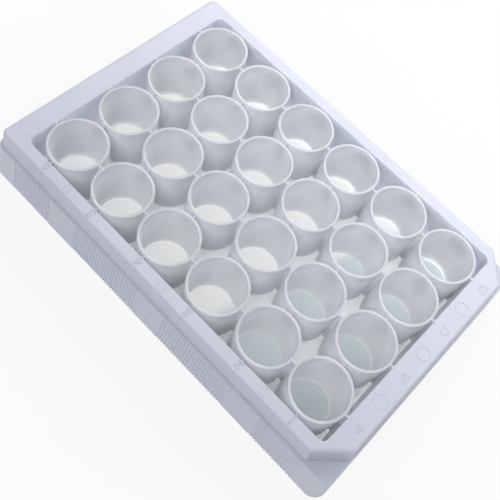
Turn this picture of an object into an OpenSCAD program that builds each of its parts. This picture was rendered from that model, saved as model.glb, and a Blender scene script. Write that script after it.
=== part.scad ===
// 24-well plate: one opaque moulded body with a clear sheet closing the wells from below.
// Millimetres. Origin at the middle of the footprint, on the surface the plate stands on.
// +Z is up and +X runs from column 1 to column 6. Row A is on the +Y side.

/* [Well field] */
// Number of well columns, along X
columns = 6; // [2:1:8]
// Number of well rows, along Y
rows = 4; // [1:1:6]
// Distance between neighbouring well centres
pitch = 18; // [18:0.1:30]
// Bore of a well at its rim
well_bore = 15.3; // [12:0.05:15.8]
// Bore of a well where it meets the clear base
well_floor_bore = 13.7; // [10:0.05:15.8]
// Wall of a well at its rim
rim_wall = 0.75; // [0.5:0.05:1]
// Rounding along both edges of a rim
rim_round = 0.16; // [0.05:0.01:0.2]
// Thickness of the webs that tie the wells together
web_t = 0.5; // [0.4:0.05:1.2]
// How far the webs stop short of the rims
web_drop = 0.3; // [0.1:0.05:3]
// Thickness of the floor between the wells
floor_t = 1; // [0.5:0.05:3]

/* [Frame] */
// Height from the foot to the rims
plate_h = 18.6; // [14:0.1:30]
// How far the rims stand above the deck
rim_rise = 0.45; // [0.1:0.05:1.5]
// Gap between the outer wells and the edge of the deck
field_gap = 0.8; // [0.5:0.01:4]
// Width of the deck on the short sides
deck_end_w = 6.65; // [5:0.01:14]
// Width of the deck on the long sides
deck_side_w = 3.51; // [3:0.01:14]
// Thickness of the deck
deck_t = 1.3; // [1:0.05:2]
// Radius in the corners of the field of wells
field_corner_r = 2; // [0.5:0.1:5]
// Wall round the field of wells
field_wall = 1.2; // [0.8:0.05:1.5]

/* [Outer wall] */
// Height of the upper wall, from the ledge to the deck
upper_h = 5.95; // [3:0.05:8]
// How far the upper wall leans out over its height
upper_flare = 0.73; // [0.1:0.01:1]
// Radius of the upper wall's corners at the ledge
upper_corner_r = 2.4; // [2:0.1:6]
// Rounding of the deck's outer edge
edge_r = 0.9; // [0.3:0.05:1]
// Width of the ledge between the upper wall and the skirt
ledge_w = 0.56; // [0.2:0.01:1.2]
// How far the skirt leans out from the ledge to the foot
skirt_flare = 1.74; // [0.2:0.01:2.5]
// Radius of the skirt's corners at the foot
foot_corner_r = 4; // [3.5:0.1:8]
// Wall of the upper wall and the skirt
outer_wall = 1.4; // [1:0.05:1.8]
// Smallest radius in the corners of the space inside the walls
inside_corner_r = 0.5; // [0.2:0.1:2]
// Leg of the orientation chamfers on the two corners by column 1
chamfer = 7.7; // [3:0.1:8]

/* [Grip ribs] */
// Distance between neighbouring grooves
groove_pitch = 1; // [0.6:0.01:2]
// Width of a groove at the skirt's face
groove_w = 0.5; // [0.3:0.01:0.55]
// Depth of a groove
groove_depth = 0.22; // [0.1:0.01:0.4]
// Number of grooves in each of the two groups by the middle
inner_grooves = 25; // [2:1:28]
// Middle of an inner group, from the middle of the long side
inner_group_x = 17.3; // [14:0.1:20]
// Number of grooves in each of the two groups by the corners
outer_grooves = 15; // [2:1:16]
// Middle of an outer group, from the middle of the long side
outer_group_x = 47; // [40:0.1:48]
// Plain strip between the ledge and the grooves
groove_start = 0.5; // [0.2:0.05:2]
// Diameter of the gate mark on the middle panel of the row A side
gate_mark_d = 1.1; // [0.5:0.1:2]
// Depth of the gate mark
gate_mark_depth = 0.3; // [0.1:0.05:0.5]
// Height of the gate mark above the foot
gate_mark_z = 3.2; // [1.5:0.1:6]

/* [Clear base] */
// Thickness of the clear base
base_t = 0.9; // [0.5:0.05:2]
// Gap between the clear base and the surface the plate stands on
base_gap = 0.5; // [0.3:0.05:2]
// How far the clear base stops short of the outside of the field wall
base_inset = 0.2; // [0:0.05:0.5]

/* [Hidden] */

$fn = 96;
// Steps that a rounded deck edge is drawn with
edge_steps = 8;
// Steps that a rounded rim edge is drawn with
rim_steps = 3;
// Overlap that makes sure of a clean cut or join
eps = 0.05;
// Step that the points of a section are rounded to, so that sides and corners meet exactly
section_step = 0.001;

// Heights of the main levels
base_top = base_gap + base_t;
deck_z = plate_h - rim_rise;
ledge_z = deck_z - upper_h;

// The field of wells and the opening in the deck round it
well_r = well_bore / 2;
tube_r = well_r + rim_wall;
// Middle of a tube's wall where it is thinnest, which the webs and the floor reach to
tube_seat_r = (tube_r + max(well_r, well_floor_bore / 2)) / 2;
field_x = (columns - 1) * pitch / 2;
field_y = (rows - 1) * pitch / 2;
field_half_x = field_x + tube_r + field_gap;
field_half_y = field_y + tube_r + field_gap;

// Half sizes of the outline where the deck would meet the upper wall in a sharp edge
top_half_x = field_half_x + deck_end_w;
top_half_y = field_half_y + deck_side_w;
// Half sizes of the upper wall at the ledge
upper_half_x = top_half_x + upper_flare;
upper_half_y = top_half_y + upper_flare;
// Half sizes of the skirt at the foot
foot_half_x = upper_half_x + ledge_w + skirt_flare;
foot_half_y = upper_half_y + ledge_w + skirt_flare;

// Lean of the upper wall and of the skirt
upper_lean = atan(upper_flare / upper_h);
skirt_lean = atan(skirt_flare / ledge_z);

// Section with its points rounded to the section step
function rounded_section(section) = [
    for (p = section) [for (value = p) section_step * round(value / section_step)]
];

// Half section of the upper wall's outer face, as [outset from the ledge line, height]
edge_shift = edge_r * (1 - sin(upper_lean)) / cos(upper_lean);
upper_section = rounded_section(concat(
    [[0, ledge_z - eps], [0, ledge_z]],
    [for (i = [0:edge_steps])
        let (a = upper_lean + (90 - upper_lean) * i / edge_steps)
        [-upper_flare - edge_shift + edge_r * cos(a), deck_z - edge_r * (1 - sin(a))]]
));
// Half section of the space inside the upper wall
upper_hollow_section = rounded_section([
    [-outer_wall, ledge_z - outer_wall],
    [-outer_wall, ledge_z],
    [-outer_wall - upper_flare * (upper_h - deck_t) / upper_h, deck_z - deck_t]
]);
// Half section of the skirt's outer face, as [outset from the foot line, height]
skirt_section = rounded_section([[0, 0], [-skirt_flare, ledge_z]]);
// Half section of the space inside the skirt
skirt_hollow_section = rounded_section([
    [-outer_wall, -eps],
    [-outer_wall, 0],
    [-outer_wall - skirt_flare * (ledge_z - outer_wall) / ledge_z, ledge_z - outer_wall + eps]
]);

// Block with rounded corners whose sides follow a section of [outset, height] points.
// The half sizes and the corner radius hold where the outset is 0.
module sided_block(half_x, half_y, corner_r, section) {
    low = section[0][1];
    high = section[len(section) - 1][1];
    core_x = half_x - corner_r;
    core_y = half_y - corner_r;
    rotate([90, 0, 90]) linear_extrude(2 * core_x, center = true)
        polygon(mirrored_section(half_y, section));
    rotate([90, 0, 0]) linear_extrude(2 * core_y, center = true)
        polygon(mirrored_section(half_x, section));
    for (sx = [-1, 1], sy = [-1, 1])
        translate([sx * core_x, sy * core_y, 0]) rotate_extrude()
            polygon(concat(
                [[0, low]],
                [for (p = section) [corner_r + p[0], p[1]]],
                [[0, high]]
            ));
}

// Closed outline of a section and its mirror image, each a half size from the middle
function mirrored_section(half, section) = concat(
    [for (p = section) [half + p[0], p[1]]],
    [for (i = [len(section) - 1:-1:0]) [-half - section[i][0], section[i][1]]]
);

// What lies inside the two orientation chamfers, whose legs stay the same at every height.
// The wall is the thickness that the section already leaves to the outer face.
module inside_chamfers(section, wall) {
    far = foot_half_x + foot_half_y;
    reach = (upper_half_x + upper_half_y - chamfer) / sqrt(2) - wall;
    face = [for (p = section) [reach + sqrt(2) * (p[0] + wall), p[1]]];
    low = face[0] - [0, wall + 1];
    high = face[len(face) - 1] + [0, wall + 1];
    outline = concat([[-far, low[1]], low], face, [high, [-far, high[1]]]);
    intersection_for (side = [-1, 1])
        rotate([0, 0, 180 + side * 45]) rotate([90, 0, 0])
            linear_extrude(2 * far, center = true) polygon(outline);
}

// Upright rounded block with true round corners
module rounded_block(half_x, half_y, corner_r, low, high) {
    translate([0, 0, low]) {
        translate([corner_r - half_x, -half_y, 0]) cube([2 * (half_x - corner_r), 2 * half_y, high - low]);
        translate([-half_x, corner_r - half_y, 0]) cube([2 * half_x, 2 * (half_y - corner_r), high - low]);
        for (sx = [-1, 1], sy = [-1, 1])
            translate([sx * (half_x - corner_r), sy * (half_y - corner_r), 0])
                cylinder(r = corner_r, h = high - low);
    }
}

// Deck, upper wall and skirt as a solid
module outer_form() {
    sided_block(foot_half_x, foot_half_y, foot_corner_r, skirt_section);
    intersection() {
        sided_block(upper_half_x, upper_half_y, upper_corner_r, upper_section);
        inside_chamfers(upper_section, 0);
    }
}

// The space under the deck, inside the upper wall and the skirt
module underside_space() {
    skirt_r = max(foot_corner_r, outer_wall + skirt_flare + inside_corner_r);
    upper_r = max(upper_corner_r, outer_wall + upper_flare + inside_corner_r);
    sided_block(foot_half_x, foot_half_y, skirt_r, skirt_hollow_section);
    intersection() {
        sided_block(upper_half_x, upper_half_y, upper_r, upper_hollow_section);
        inside_chamfers(upper_hollow_section, outer_wall);
    }
}

// Row of parallel grooves centred on x = 0, open toward +Y, following the lean of the skirt
module groove_group(count) {
    face = groove_depth + outer_wall;
    floor_w = groove_w / 2;
    first = -(count - 1) * groove_pitch / 2;
    teeth = [for (i = [0:count - 1]) let (x = first + i * groove_pitch) each [
        [x - groove_w / 2, 0],
        [x - floor_w / 2, -groove_depth],
        [x + floor_w / 2, -groove_depth],
        [x + groove_w / 2, 0]
    ]];
    outline = concat([[first - groove_w / 2, face]], teeth, [[-first + groove_w / 2, face]]);
    groove_len = (ledge_z - groove_start) / cos(skirt_lean);
    translate([0, foot_half_y, 0]) rotate([skirt_lean, 0, 0]) translate([0, 0, -outer_wall])
        linear_extrude(groove_len + outer_wall) polygon(outline);
}

// The grooves of both long sides
module grip_grooves() {
    for (turn = [0, 180], sx = [-1, 1]) rotate([0, 0, turn]) {
        translate([sx * inner_group_x, 0, 0]) groove_group(inner_grooves);
        translate([sx * outer_group_x, 0, 0]) groove_group(outer_grooves);
    }
}

// Round pit left by the moulding gate in the middle of the row A side
module gate_mark() {
    translate([0, foot_half_y, 0]) rotate([skirt_lean, 0, 0])
        translate([0, -gate_mark_depth, gate_mark_z]) rotate([-90, 0, 0])
            cylinder(d = gate_mark_d, h = gate_mark_depth + outer_wall);
}

// One open tube with rounded rim edges and a slightly tapered bore
module well_tube() {
    bore_low = well_floor_bore / 2;
    rotate_extrude() polygon(concat(
        [[tube_r, base_top]],
        [for (i = [0:rim_steps]) let (a = 90 * i / rim_steps)
            [tube_r - rim_round * (1 - cos(a)), plate_h - rim_round * (1 - sin(a))]],
        [for (i = [0:rim_steps]) let (a = 90 * i / rim_steps)
            [well_r + rim_round * (1 - sin(a)), plate_h - rim_round * (1 - cos(a))]],
        [[bore_low, base_top]]
    ));
}

// Places its children at every well
module at_wells() {
    for (column = [0:columns - 1], row = [0:rows - 1])
        translate([column * pitch - field_x, row * pitch - field_y, 0]) children();
}

// Thin webs from each tube to its neighbours and to the wall round the field
module webs() {
    seat = tube_r - tube_seat_r;
    web_h = deck_z + rim_rise - web_drop - base_top;
    link = pitch - 2 * tube_seat_r;
    stub = field_gap + seat + field_wall / 2;
    translate([0, 0, base_top + web_h / 2]) {
        for (row = [0:rows - 1]) translate([0, row * pitch - field_y, 0]) {
            for (gap = [1:1:columns - 1])
                translate([(gap - columns / 2) * pitch, 0, 0]) cube([link, web_t, web_h], center = true);
            for (sx = [-1, 1])
                translate([sx * (field_half_x + (field_wall / 2 - field_gap - seat) / 2), 0, 0])
                    cube([stub, web_t, web_h], center = true);
        }
        for (column = [0:columns - 1]) translate([column * pitch - field_x, 0, 0]) {
            for (gap = [1:1:rows - 1])
                translate([0, (gap - rows / 2) * pitch, 0]) cube([web_t, link, web_h], center = true);
            for (sy = [-1, 1])
                translate([0, sy * (field_half_y + (field_wall / 2 - field_gap - seat) / 2), 0])
                    cube([web_t, stub, web_h], center = true);
        }
    }
}

// Floor that closes the gaps between the tubes, level with their feet
module well_field_floor() {
    reach = field_wall / 2;
    difference() {
        rounded_block(field_half_x + reach, field_half_y + reach, field_corner_r + reach,
            base_top, base_top + floor_t);
        at_wells() translate([0, 0, base_top - eps]) cylinder(r = tube_seat_r, h = floor_t + 2 * eps);
    }
}

// The whole moulded body
module plate_body() {
    color([0.86, 0.88, 0.93]) {
        difference() {
            outer_form();
            difference() {
                underside_space();
                rounded_block(field_half_x + field_wall, field_half_y + field_wall,
                    field_corner_r + field_wall, base_top, deck_z);
            }
            rounded_block(field_half_x, field_half_y, field_corner_r, -eps, deck_z + eps);
            grip_grooves();
            gate_mark();
        }
        at_wells() well_tube();
        webs();
        well_field_floor();
    }
}

// Flat clear sheet under the tubes and the wall round the field
module clear_base() {
    reach = field_wall - base_inset;
    color([0.9, 0.95, 0.98, 0.4])
        rounded_block(field_half_x + reach, field_half_y + reach, field_corner_r + reach, base_gap, base_top);
}

plate_body();
clear_base();
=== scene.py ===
import math

import bmesh
import bpy
from mathutils import Matrix, Vector


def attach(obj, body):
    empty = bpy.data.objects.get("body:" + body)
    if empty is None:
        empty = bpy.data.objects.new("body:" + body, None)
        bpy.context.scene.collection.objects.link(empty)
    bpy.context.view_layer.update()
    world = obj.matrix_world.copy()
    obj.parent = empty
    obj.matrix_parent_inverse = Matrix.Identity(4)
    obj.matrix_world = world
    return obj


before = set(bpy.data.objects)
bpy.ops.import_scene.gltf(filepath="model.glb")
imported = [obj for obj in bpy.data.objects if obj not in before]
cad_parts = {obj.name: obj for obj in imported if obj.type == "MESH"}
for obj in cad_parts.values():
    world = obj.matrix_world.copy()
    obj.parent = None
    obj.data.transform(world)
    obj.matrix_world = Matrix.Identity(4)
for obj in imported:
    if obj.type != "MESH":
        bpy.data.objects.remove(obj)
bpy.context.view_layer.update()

MM = 0.001

# Sizes and places here are in millimetres, in the frame of the plate, and those of the lamps are in metres.

# Layout of the wells and heights of the body
PITCH = 18.0
COLUMNS = "123456"
ROWS = "ABCD"
LEDGE_Z = 12.2
DECK_Z = 18.15
RIM_Z = 18.6
# Half sizes of the opening of the deck, a hair outside its walls
FIELD_HALF_X = 54.23
FIELD_HALF_Y = 36.23

# Tones of the white plastic: the thick frame, the rims of the wells and the thin walls. The rims and the
# thin walls are painted lighter than the frame, as painted light.
THICK_TONES = ("#D9DDED", "#DEE2F1")
RIM_PAINTED_LIGHT_TONES = ("#E0E3F0", "#E4E7F3")
THIN_WALL_PAINTED_LIGHT_TONES = ("#F4F8FF", "#F6FAFF")
# Height from which the tone of the thin walls turns into the tone of the rims
RIM_TONE_Z = 13.0
# How far the filler drifts, how wide the patches of gloss are, and how coarse the grain and the haze are
DRIFT_W = 25.0
PATCH_W = 5.0
GRAIN_W = 0.4
GRAIN_DEPTH = 0.02
HAZE_W = 8.0
# How far light spreads inside the white plastic
SCATTER = 4.0
# Painted shade in the corner of the ledge: what it leaves of the tone, and how far from the ledge it fades
LEDGE_PAINTED_SHADE = 0.84
LEDGE_SHADE_FADE = (0.1, 0.9)

# Raised characters of the deck: height, rise and where their rows stand
CHARACTER_H = 2.7
NUMBER_RISE = 0.12
LETTER_RISE = 0.05
NUMBER_Y = 37.6
LETTER_X = -57.9
WELD = 0.001
# Rings that the ejector pins left on the deck, as place and outside radius
PIN_RINGS = ([(column, 37.7, 1.2) for column in (-35.7, 0.3, 36.3)]
             + [(-57.4, row, 2.0) for row in (18.2, 0.2, -17.8)] + [(57.1, 33.3, 2.6)])
RING_W = 0.22
RING_RISE = 0.07
RING_SLOPE = 0.2 * RING_W
RING_STEPS = 48
# How deep the rings reach into the deck
SEAT = 0.03

# Bench: its half size, and the distances over which it turns into the background
BENCH_HALF = 3000.0
BENCH_FADE = (60.0, 140.0)
# What the bench near the plate shows of its own white, the rest being paint that takes the shadow
BENCH_OWN_WHITE = 0.85
# Half sizes of the bench inside the skirt, and of the field of wells without its outermost strip
INSIDE_HALF_X = 60.5
INSIDE_HALF_Y = 39.5
EDGE_X = 50.6
EDGE_Y = 32.6
# Radius of the round of bench under each well
WELL_SPOT_R = 8.5
# Painted shade on the bench at the chamfered end, up to a slanting edge: its slope and where it ends
SHADE_SLOPE = -0.3
SHADE_END = (-22.0, -17.0)
# Deeper painted shade in the corner by well A1: where it fades, and what it leaves of the light
CORNER_END = (-54.0, -38.0)
CORNER_SHADE = 0.75
# Painted light on the bench that the eye sees through the wells, from row A to row D: under the lit wells
# and the shaded ones
LIT_WELLS = (0.74, 0.98)
SHADED_WELLS = (0.50, 0.78)
# Light that the bench sends upward, unseen by the eye, from row A to row D: into the wells, and into the
# floor between them
UPWARD_IN_WELLS = (0.4, 0.6)
UPWARD_BETWEEN = (1.3, 2.4)
# The same along the edge of the floor, and under the deck and the skirt. Each holds three values: by
# column 1 and row A, by row D, and by column 6.
UPWARD_AT_EDGE = (1.0, 2.4, 2.2)
UPWARD_UNDER_FRAME = (2.0, 12.0, 4.0)

# Camera: where it stands, what it looks at, and its roll in degrees
CAMERA_PLACE = (-39.98, 90.96, 182.92)
CAMERA_AIM = (-3.24, 9.35, DECK_Z)
CAMERA_ROLL = 22.627


def linear(hex_colour):
    """Linear RGBA of an sRGB hex colour."""
    channels = [int(hex_colour[i:i + 2], 16) / 255 for i in (1, 3, 5)]
    return [c / 12.92 if c <= 0.04045 else ((c + 0.055) / 1.055) ** 2.4 for c in channels] + [1.0]


def add_node(tree, kind, settings=None, links=None):
    """One node with its settings, by property or by input, and its links, from (node, output) to input."""
    node = tree.nodes.new(kind)
    for name, value in (settings or {}).items():
        if isinstance(name, str) and hasattr(node, name):
            setattr(node, name, value)
        else:
            node.inputs[name].default_value = value
    for name, (source, output) in (links or {}).items():
        tree.links.new(source.outputs[output], node.inputs[name])
    return node


def new_material(name):
    """An empty material and its tree of nodes."""
    material = bpy.data.materials.new(name)
    material.use_nodes = True
    material.node_tree.nodes.clear()
    return material, material.node_tree


def off_middle(tree, place):
    """Distances from the middle of the plate, as X and Y, with the height as Z."""
    across = add_node(tree, "ShaderNodeVectorMath", {"operation": "ABSOLUTE"}, {0: (place, "Object")})
    return add_node(tree, "ShaderNodeSeparateXYZ", links={0: (across, 0)})


def within(tree, across, half_x, half_y):
    """1 inside a rectangle round the middle of the plate and 0 outside it."""
    in_x = add_node(tree, "ShaderNodeMath", {"operation": "LESS_THAN", 1: half_x * MM}, {0: (across, "X")})
    in_y = add_node(tree, "ShaderNodeMath", {"operation": "LESS_THAN", 1: half_y * MM}, {0: (across, "Y")})
    return add_node(tree, "ShaderNodeMath", {"operation": "MULTIPLY"}, {0: (in_x, 0), 1: (in_y, 0)})


def beyond(tree, across, half_x, half_y):
    """1 outside a rectangle round the middle of the plate and 0 inside it."""
    past_x = add_node(tree, "ShaderNodeMath", {"operation": "GREATER_THAN", 1: half_x * MM},
                      {0: (across, "X")})
    past_y = add_node(tree, "ShaderNodeMath", {"operation": "GREATER_THAN", 1: half_y * MM},
                      {0: (across, "Y")})
    return add_node(tree, "ShaderNodeMath", {"operation": "MAXIMUM"}, {0: (past_x, 0), 1: (past_y, 0)})


def seen_by_eye(tree):
    """1 where the eye looks, straight, in a gloss or through something clear, and 0 for all other light."""
    rays = add_node(tree, "ShaderNodeLightPath")
    seen = add_node(tree, "ShaderNodeMath", {"operation": "MAXIMUM"},
                    {0: (rays, "Is Camera Ray"), 1: (rays, "Is Glossy Ray")})
    return add_node(tree, "ShaderNodeMath", {"operation": "MAXIMUM"},
                    {0: (seen, 0), 1: (rays, "Is Transmission Ray")})


def filler_tone(tree, drift, tones):
    """Colour that drifts between two tones."""
    tone = add_node(tree, "ShaderNodeValToRGB", links={"Fac": (drift, 0)})
    for end, position, hex_colour in zip(tone.color_ramp.elements, (0.3, 0.7), tones):
        end.position = position
        end.color = linear(hex_colour)
    return tone


def white_colour(tree, place, across, thin):
    """Colour of the white plastic: darker where it is thick, painted paler as painted light in the rims and
    thin walls of the wells, and with painted shade in the corner of the ledge.
    """
    # Drift of the filler as the melt spread
    drift = add_node(tree, "ShaderNodeTexNoise",
                     {"Scale": 1 / (DRIFT_W * MM), "Detail": 2.0},
                     {"Vector": (place, "Object")})
    # The rims and the thin walls get paler tones than the frame: painted light, paler still down the walls
    thick_tone, rim_painted_light_tone, thin_wall_painted_light_tone = (
        filler_tone(tree, drift, tones) for tones in (THICK_TONES, RIM_PAINTED_LIGHT_TONES, THIN_WALL_PAINTED_LIGHT_TONES))
    height = add_node(tree, "ShaderNodeMapRange",
                      {"interpolation_type": "SMOOTHSTEP", "From Min": RIM_TONE_Z * MM,
                       "From Max": RIM_Z * MM},
                      {"Value": (across, "Z")})
    wells = add_node(tree, "ShaderNodeMix", {"data_type": "RGBA"},
                     {0: (height, 0), 6: (thin_wall_painted_light_tone, 0), 7: (rim_painted_light_tone, 0)})
    colour = add_node(tree, "ShaderNodeMix", {"data_type": "RGBA"},
                      {0: (thin, 0), 6: (thick_tone, 0), 7: (wells, 2)})
    # Painted shade: the inner corner of the ledge is drawn a little darker, like the soft shade that gathers
    # there
    ledge_shade = add_node(tree, "ShaderNodeMath", {"operation": "SUBTRACT", 1: LEDGE_Z * MM}, {0: (across, "Z")})
    ledge_shade = add_node(tree, "ShaderNodeMath", {"operation": "ABSOLUTE"}, {0: (ledge_shade, 0)})
    ledge_shade = add_node(tree, "ShaderNodeMapRange",
                    {"interpolation_type": "SMOOTHSTEP", "From Min": LEDGE_SHADE_FADE[0] * MM,
                     "From Max": LEDGE_SHADE_FADE[1] * MM, "To Min": LEDGE_PAINTED_SHADE, "To Max": 1.0},
                    {"Value": (ledge_shade, 0)})
    ledge_shade = add_node(tree, "ShaderNodeMath", {"operation": "MAXIMUM"}, {0: (ledge_shade, 0), 1: (thin, 0)})
    return add_node(tree, "ShaderNodeVectorMath", {"operation": "SCALE"},
                    {0: (colour, 2), "Scale": (ledge_shade, 0)})


def moulded_white_polystyrene():
    """Injection-moulded polystyrene, filled white, from a finely spark-eroded mould.
    The filler keeps it opaque with soft shadows, and the grain of the mould turns its gloss to satin.
    The thin walls of the wells pass light on to each other, and their colour is also painted paler than the
    thick frame's, as painted light."""
    material, tree = new_material("moulded_white_polystyrene")
    place = add_node(tree, "ShaderNodeTexCoord")
    across = off_middle(tree, place)
    # The field of thin walls, inside the opening of the deck
    thin = within(tree, across, FIELD_HALF_X, FIELD_HALF_Y)
    colour = white_colour(tree, place, across, thin)
    # Light spreads freely in the thin walls and only a little in the thick frame, whose edges stay crisp
    scatter = add_node(tree, "ShaderNodeMapRange", {"To Min": 0.12, "To Max": 1.0}, {"Value": (thin, 0)})
    # Patches that the mould left a little glossier or duller
    patches = add_node(tree, "ShaderNodeTexNoise",
                       {"Scale": 1 / (PATCH_W * MM), "Detail": 3.0},
                       {"Vector": (place, "Object")})
    satin = add_node(tree, "ShaderNodeMapRange", {"To Min": 0.34, "To Max": 0.46}, {"Value": (patches, 0)})
    # Grain of the eroded mould, really about 0.06 mm, drawn coarser so that it shows
    grain = add_node(tree, "ShaderNodeTexNoise",
                     {"Scale": 1 / (GRAIN_W * MM), "Detail": 2.0},
                     {"Vector": (place, "Object")})
    bump = add_node(tree, "ShaderNodeBump",
                    {"Strength": 0.25, "Distance": GRAIN_DEPTH * MM},
                    {"Height": (grain, 0)})
    surface = add_node(tree, "ShaderNodeBsdfPrincipled",
                       {"IOR": 1.59, "Subsurface Radius": (1.0, 1.0, 1.0), "Subsurface Scale": SCATTER * MM},
                       {"Base Color": (colour, 0), "Subsurface Weight": (scatter, 0),
                        "Roughness": (satin, 0), "Normal": (bump, 0)})
    add_node(tree, "ShaderNodeOutputMaterial", links={"Surface": (surface, 0)})
    return material


def clear_polystyrene_sheet():
    """Extruded clear polystyrene, bonded under the wells.
    What lies under it shows through almost unchanged, with a clean gloss on top."""
    material, tree = new_material("clear_polystyrene_sheet")
    place = add_node(tree, "ShaderNodeTexCoord")
    # Haze from handling, in soft patches
    haze = add_node(tree, "ShaderNodeTexNoise",
                    {"Scale": 1 / (HAZE_W * MM), "Detail": 2.0},
                    {"Vector": (place, "Object")})
    gloss = add_node(tree, "ShaderNodeMapRange", {"To Min": 0.04, "To Max": 0.12}, {"Value": (haze, 0)})
    surface = add_node(tree, "ShaderNodeBsdfPrincipled",
                       {"Base Color": linear("#EEF5F2"), "IOR": 1.59, "Alpha": 0.14},
                       {"Roughness": (gloss, 0)})
    add_node(tree, "ShaderNodeOutputMaterial", links={"Surface": (surface, 0)})
    return material


def grow_to_row_d(tree, spot, at_row_a, at_row_d):
    """Strength of light that grows from row A to row D."""
    return add_node(tree, "ShaderNodeMapRange",
                    {"From Min": 2 * PITCH * MM, "From Max": -2 * PITCH * MM,
                     "To Min": at_row_a, "To Max": at_row_d},
                    {"Value": (spot, "Y")})


def lit_end_of_bench(tree, slant):
    """1 where light is painted on the bench under the wells and 0 in the painted shade at the chamfered end.
    """
    return add_node(tree, "ShaderNodeMapRange",
                    {"interpolation_type": "SMOOTHSTEP", "From Min": SHADE_END[0] * MM,
                     "From Max": SHADE_END[1] * MM},
                    {"Value": (slant, 0)})


def bench_seen(tree, spot, slant, lit_end):
    """Painted light and shade of the bench that the eye sees through the clear base."""
    lit = grow_to_row_d(tree, spot, *LIT_WELLS)
    shaded = grow_to_row_d(tree, spot, *SHADED_WELLS)
    corner = add_node(tree, "ShaderNodeMapRange",
                      {"From Min": CORNER_END[0] * MM, "From Max": CORNER_END[1] * MM,
                       "To Min": CORNER_SHADE, "To Max": 1.0},
                      {"Value": (slant, 0)})
    shaded = add_node(tree, "ShaderNodeMath", {"operation": "MULTIPLY"}, {0: (shaded, 0), 1: (corner, 0)})
    return add_node(tree, "ShaderNodeMix", {"data_type": "FLOAT"},
                    {0: (lit_end, 0), 2: (shaded, 0), 3: (lit, 0)})


def well_spots(tree, place):
    """1 in the round of bench under each well and 0 between them."""
    half_pitch = PITCH / 2 * MM
    cell = add_node(tree, "ShaderNodeVectorMath",
                    {"operation": "SUBTRACT", 1: (half_pitch, half_pitch, 0)},
                    {0: (place, "Object")})
    cell = add_node(tree, "ShaderNodeVectorMath",
                    {"operation": "WRAP", 1: (half_pitch,) * 3, 2: (-half_pitch,) * 3},
                    {0: (cell, 0)})
    cell = add_node(tree, "ShaderNodeVectorMath", {"operation": "LENGTH"}, {0: (cell, 0)})
    return add_node(tree, "ShaderNodeMath", {"operation": "LESS_THAN", 1: WELL_SPOT_R * MM},
                    {0: (cell, "Value")})


def side_by_side(tree, row_d_side, column_6_end, strengths):
    """Strength of light by column 1 and row A, by row D, and by column 6."""
    near, far_side, far_end = strengths
    along_rows = add_node(tree, "ShaderNodeMix", {"data_type": "FLOAT", 2: near, 3: far_side},
                          {0: (row_d_side, 0)})
    return add_node(tree, "ShaderNodeMix", {"data_type": "FLOAT", 3: far_end},
                    {0: (column_6_end, 0), 2: (along_rows, 0)})


def light_upward(tree, place, spot, across):
    """Light that the bench under the plate sends upward, by the zone of the plate that stands over it."""
    row_d_side = add_node(tree, "ShaderNodeMath", {"operation": "LESS_THAN", 1: -EDGE_Y * MM},
                          {0: (spot, "Y")})
    column_6_end = add_node(tree, "ShaderNodeMath", {"operation": "GREATER_THAN", 1: EDGE_X * MM},
                            {0: (spot, "X")})
    in_wells = grow_to_row_d(tree, spot, *UPWARD_IN_WELLS)
    between = grow_to_row_d(tree, spot, *UPWARD_BETWEEN)
    at_edge = side_by_side(tree, row_d_side, column_6_end, UPWARD_AT_EDGE)
    under_frame = side_by_side(tree, row_d_side, column_6_end, UPWARD_UNDER_FRAME)
    edge = beyond(tree, across, EDGE_X, EDGE_Y)
    below_well = well_spots(tree, place)
    field = within(tree, across, FIELD_HALF_X, FIELD_HALF_Y)
    light = add_node(tree, "ShaderNodeMix", {"data_type": "FLOAT"},
                     {0: (edge, 0), 2: (between, 0), 3: (at_edge, 0)})
    light = add_node(tree, "ShaderNodeMix", {"data_type": "FLOAT"},
                     {0: (below_well, 0), 2: (light, 0), 3: (in_wells, 0)})
    return add_node(tree, "ShaderNodeMix", {"data_type": "FLOAT"},
                    {0: (field, 0), 2: (under_frame, 0), 3: (light, 0)})


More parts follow.
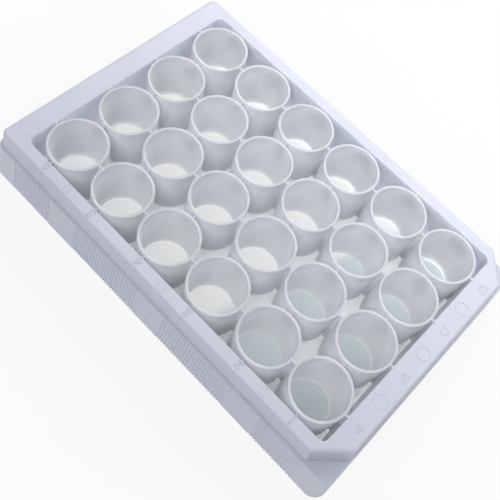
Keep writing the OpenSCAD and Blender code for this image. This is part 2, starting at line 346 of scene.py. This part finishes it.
def pale_bench():
    """Painted white bench: a plain matte surface that blends into the white background.
    Part of its white is its own for the eye, so that the background stays white and the shadow stays soft.
    Light spreads further inside the real plate than the white material carries it. To make up for that, the
    bench under the plate shines upward, most along row D, more strongly than a real bench would."""
    material, tree = new_material("pale_bench")
    place = add_node(tree, "ShaderNodeTexCoord")
    spot = add_node(tree, "ShaderNodeSeparateXYZ", links={0: (place, "Object")})
    across = off_middle(tree, place)
    covered = within(tree, across, INSIDE_HALF_X, INSIDE_HALF_Y)
    seen = seen_by_eye(tree)
    slant = add_node(tree, "ShaderNodeMath", {"operation": "MULTIPLY_ADD", 1: SHADE_SLOPE},
                     {0: (spot, "Y"), 2: (spot, "X")})
    lit_end = lit_end_of_bench(tree, slant)
    # Under the plate the bench is all glow: painted light and shade for the eye, and light sent upward for
    # the rest
    under_plate = add_node(tree, "ShaderNodeMix", {"data_type": "FLOAT"},
                           {0: (seen, 0), 2: (light_upward(tree, place, spot, across), 0),
                            3: (bench_seen(tree, spot, slant, lit_end), 0)})
    strength = add_node(tree, "ShaderNodeMix", {"data_type": "FLOAT", 2: 1.0},
                        {0: (covered, 0), 3: (under_plate, 0)})
    # The painted shade that the eye sees under the wells is a little blue
    cool = add_node(tree, "ShaderNodeMath", {"operation": "MULTIPLY_ADD", 1: -1.0},
                    {0: (lit_end, 0), 2: (covered, 0)})
    cool = add_node(tree, "ShaderNodeMath", {"operation": "MULTIPLY", "use_clamp": True},
                    {0: (cool, 0), 1: (seen, 0)})
    tint = add_node(tree, "ShaderNodeMix", {"data_type": "RGBA", 6: linear("#FFFFFF"), 7: linear("#E9F5FB")},
                    {0: (cool, 0)})
    # Away from the plate the bench turns into the background
    away = add_node(tree, "ShaderNodeVectorMath", {"operation": "LENGTH"}, {0: (place, "Object")})
    away = add_node(tree, "ShaderNodeMapRange",
                    {"interpolation_type": "SMOOTHSTEP", "From Min": BENCH_FADE[0] * MM,
                     "From Max": BENCH_FADE[1] * MM, "To Min": BENCH_OWN_WHITE, "To Max": 1.0},
                    {"Value": (away, "Value")})
    share = add_node(tree, "ShaderNodeMath", {"operation": "MULTIPLY"}, {0: (seen, 0), 1: (away, 0)})
    share = add_node(tree, "ShaderNodeMath", {"operation": "MAXIMUM"}, {0: (share, 0), 1: (covered, 0)})
    paint = add_node(tree, "ShaderNodeBsdfDiffuse", {"Color": linear("#F4F6F6")})
    glow = add_node(tree, "ShaderNodeEmission", links={"Color": (tint, 2), "Strength": (strength, 0)})
    mix = add_node(tree, "ShaderNodeMixShader", links={0: (share, 0), 1: (paint, 0), 2: (glow, 0)})
    add_node(tree, "ShaderNodeOutputMaterial", links={"Surface": (mix, 0)})
    return material


def add_mark(name, mesh, finish):
    """Mark moulded in one with the deck."""
    mesh.materials.clear()
    mesh.materials.append(finish)
    mark = bpy.data.objects.new(name, mesh)
    bpy.context.scene.collection.objects.link(mark)
    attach(mark, "root")


def raised_character(character, x, y, rise, finish):
    """Raised character with sloping sides, upright for a reader on the row D side.
    Its widest outline lies in the deck's face, and its mirror half is sunk in the deck."""
    text = bpy.data.curves.new("character", "FONT")
    text.body = character
    text.size = CHARACTER_H * MM
    text.resolution_u = 4
    text.bevel_depth = rise * MM
    text.bevel_resolution = 0
    shape = bpy.data.objects.new("character", text)
    mesh = bpy.data.meshes.new_from_object(shape)
    bpy.data.objects.remove(shape)
    low = [min(v.co[axis] for v in mesh.vertices) for axis in range(3)]
    high = [max(v.co[axis] for v in mesh.vertices) for axis in range(3)]
    grow = CHARACTER_H * MM / (high[1] - low[1])
    middle = Vector([(a + b) / 2 for a, b in zip(low, high)])
    place = Vector((x, y, DECK_Z)) * MM
    scaling = Matrix.Diagonal((grow, grow, 1, 1))
    mesh.transform(Matrix.Translation(place) @ scaling @ Matrix.Translation(-middle))
    form = bmesh.new()
    form.from_mesh(mesh)
    bmesh.ops.remove_doubles(form, verts=form.verts, dist=WELD * MM)
    form.to_mesh(mesh)
    form.free()
    add_mark("character_" + character, mesh, finish)


def pin_ring(number, x, y, radius, finish):
    """Low ridge round the place where an ejector pin pushed the plate out of the mould."""
    section = ((radius, -SEAT), (radius - RING_SLOPE, RING_RISE), (radius - RING_W + RING_SLOPE, RING_RISE),
               (radius - RING_W, -SEAT))
    angles = [math.tau * step / RING_STEPS for step in range(RING_STEPS)]
    points = [(x + r * math.cos(angle), y + r * math.sin(angle), DECK_Z + z)
              for angle in angles for r, z in section]
    count = len(section)
    faces = [(step * count + k, (step + 1) % RING_STEPS * count + k,
              (step + 1) % RING_STEPS * count + (k + 1) % count, step * count + (k + 1) % count)
             for step in range(RING_STEPS) for k in range(count)]
    mesh = bpy.data.meshes.new("pin_ring")
    mesh.from_pydata([Vector(point) * MM for point in points], [], faces)
    add_mark(f"pin_ring_{number}", mesh, finish)


def add_floor():
    """Flat bench that the plate stands on."""
    half = BENCH_HALF * MM
    mesh = bpy.data.meshes.new("bench")
    corners = [(-half, -half, 0), (half, -half, 0), (half, half, 0), (-half, half, 0)]
    mesh.from_pydata(corners, [], [(0, 1, 2, 3)])
    mesh.materials.append(pale_bench())
    bench = bpy.data.objects.new("bench", mesh)
    bpy.context.scene.collection.objects.link(bench)


def add_softbox(name, place, width, depth, power):
    """Soft white lamp over the plate, turned to its middle, that isn't seen itself. Metres and watts."""
    light = bpy.data.lights.new(name, "AREA")
    light.shape = "RECTANGLE"
    light.size = width
    light.size_y = depth
    light.energy = power
    light.color = linear("#FFFFFF")[:3]
    lamp = bpy.data.objects.new(name, light)
    lamp.location = place
    aim = Vector((0.0, 0.0, 0.01))
    lamp.rotation_euler = (aim - Vector(place)).to_track_quat("-Z", "Y").to_euler()
    lamp.visible_camera = False
    bpy.context.scene.collection.objects.link(lamp)


def add_daylight():
    """Even pale light from all round, in front of a white background."""
    world = bpy.data.worlds.new("daylight")
    world.use_nodes = True
    tree = world.node_tree
    tree.nodes.clear()
    room = add_node(tree, "ShaderNodeBackground", {"Color": linear("#FAFAFF"), "Strength": 0.12})
    backdrop = add_node(tree, "ShaderNodeBackground", {"Color": linear("#FFFFFF"), "Strength": 1.0})
    mix = add_node(tree, "ShaderNodeMixShader",
                   links={0: (seen_by_eye(tree), 0), 1: (room, 0), 2: (backdrop, 0)})
    add_node(tree, "ShaderNodeOutputWorld", links={"Surface": (mix, 0)})
    bpy.context.scene.world = world


def add_camera():
    """Camera above the corner of column 1 and row A, rolled so that the plate lies across the view."""
    optics = bpy.data.cameras.new("camera")
    optics.sensor_width = 36.0
    optics.lens = 50.87
    optics.shift_y = -0.0407
    optics.clip_start = 0.01
    camera = bpy.data.objects.new("camera", optics)
    place = Vector(CAMERA_PLACE) * MM
    aim = Vector(CAMERA_AIM) * MM
    turn = (aim - place).to_track_quat("-Z", "Y").to_matrix().to_4x4()
    roll = Matrix.Rotation(math.radians(CAMERA_ROLL), 4, "Z")
    camera.matrix_world = Matrix.Translation(place) @ turn @ roll
    bpy.context.scene.collection.objects.link(camera)
    bpy.context.scene.camera = camera


white = moulded_white_polystyrene()
clear = clear_polystyrene_sheet()
for node, finish in (("plate_body", white), ("clear_base", clear)):
    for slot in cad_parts[node].material_slots:
        slot.material = finish

for index, character in enumerate(COLUMNS):
    raised_character(character, (index - 2.5) * PITCH, NUMBER_Y, NUMBER_RISE, white)
for index, character in enumerate(ROWS):
    raised_character(character, LETTER_X, (1.5 - index) * PITCH, LETTER_RISE, white)
for index, (x, y, radius) in enumerate(PIN_RINGS):
    pin_ring(index + 1, x, y, radius, white)

add_floor()
add_daylight()
add_softbox("key", place=(0.0, -0.15, 0.16), width=0.35, depth=0.12, power=0.4)
add_softbox("fill", place=(0.0, 0.25, 0.35), width=0.3, depth=0.2, power=0.72)
add_camera()
bpy.context.scene.view_settings.view_transform = "Standard"
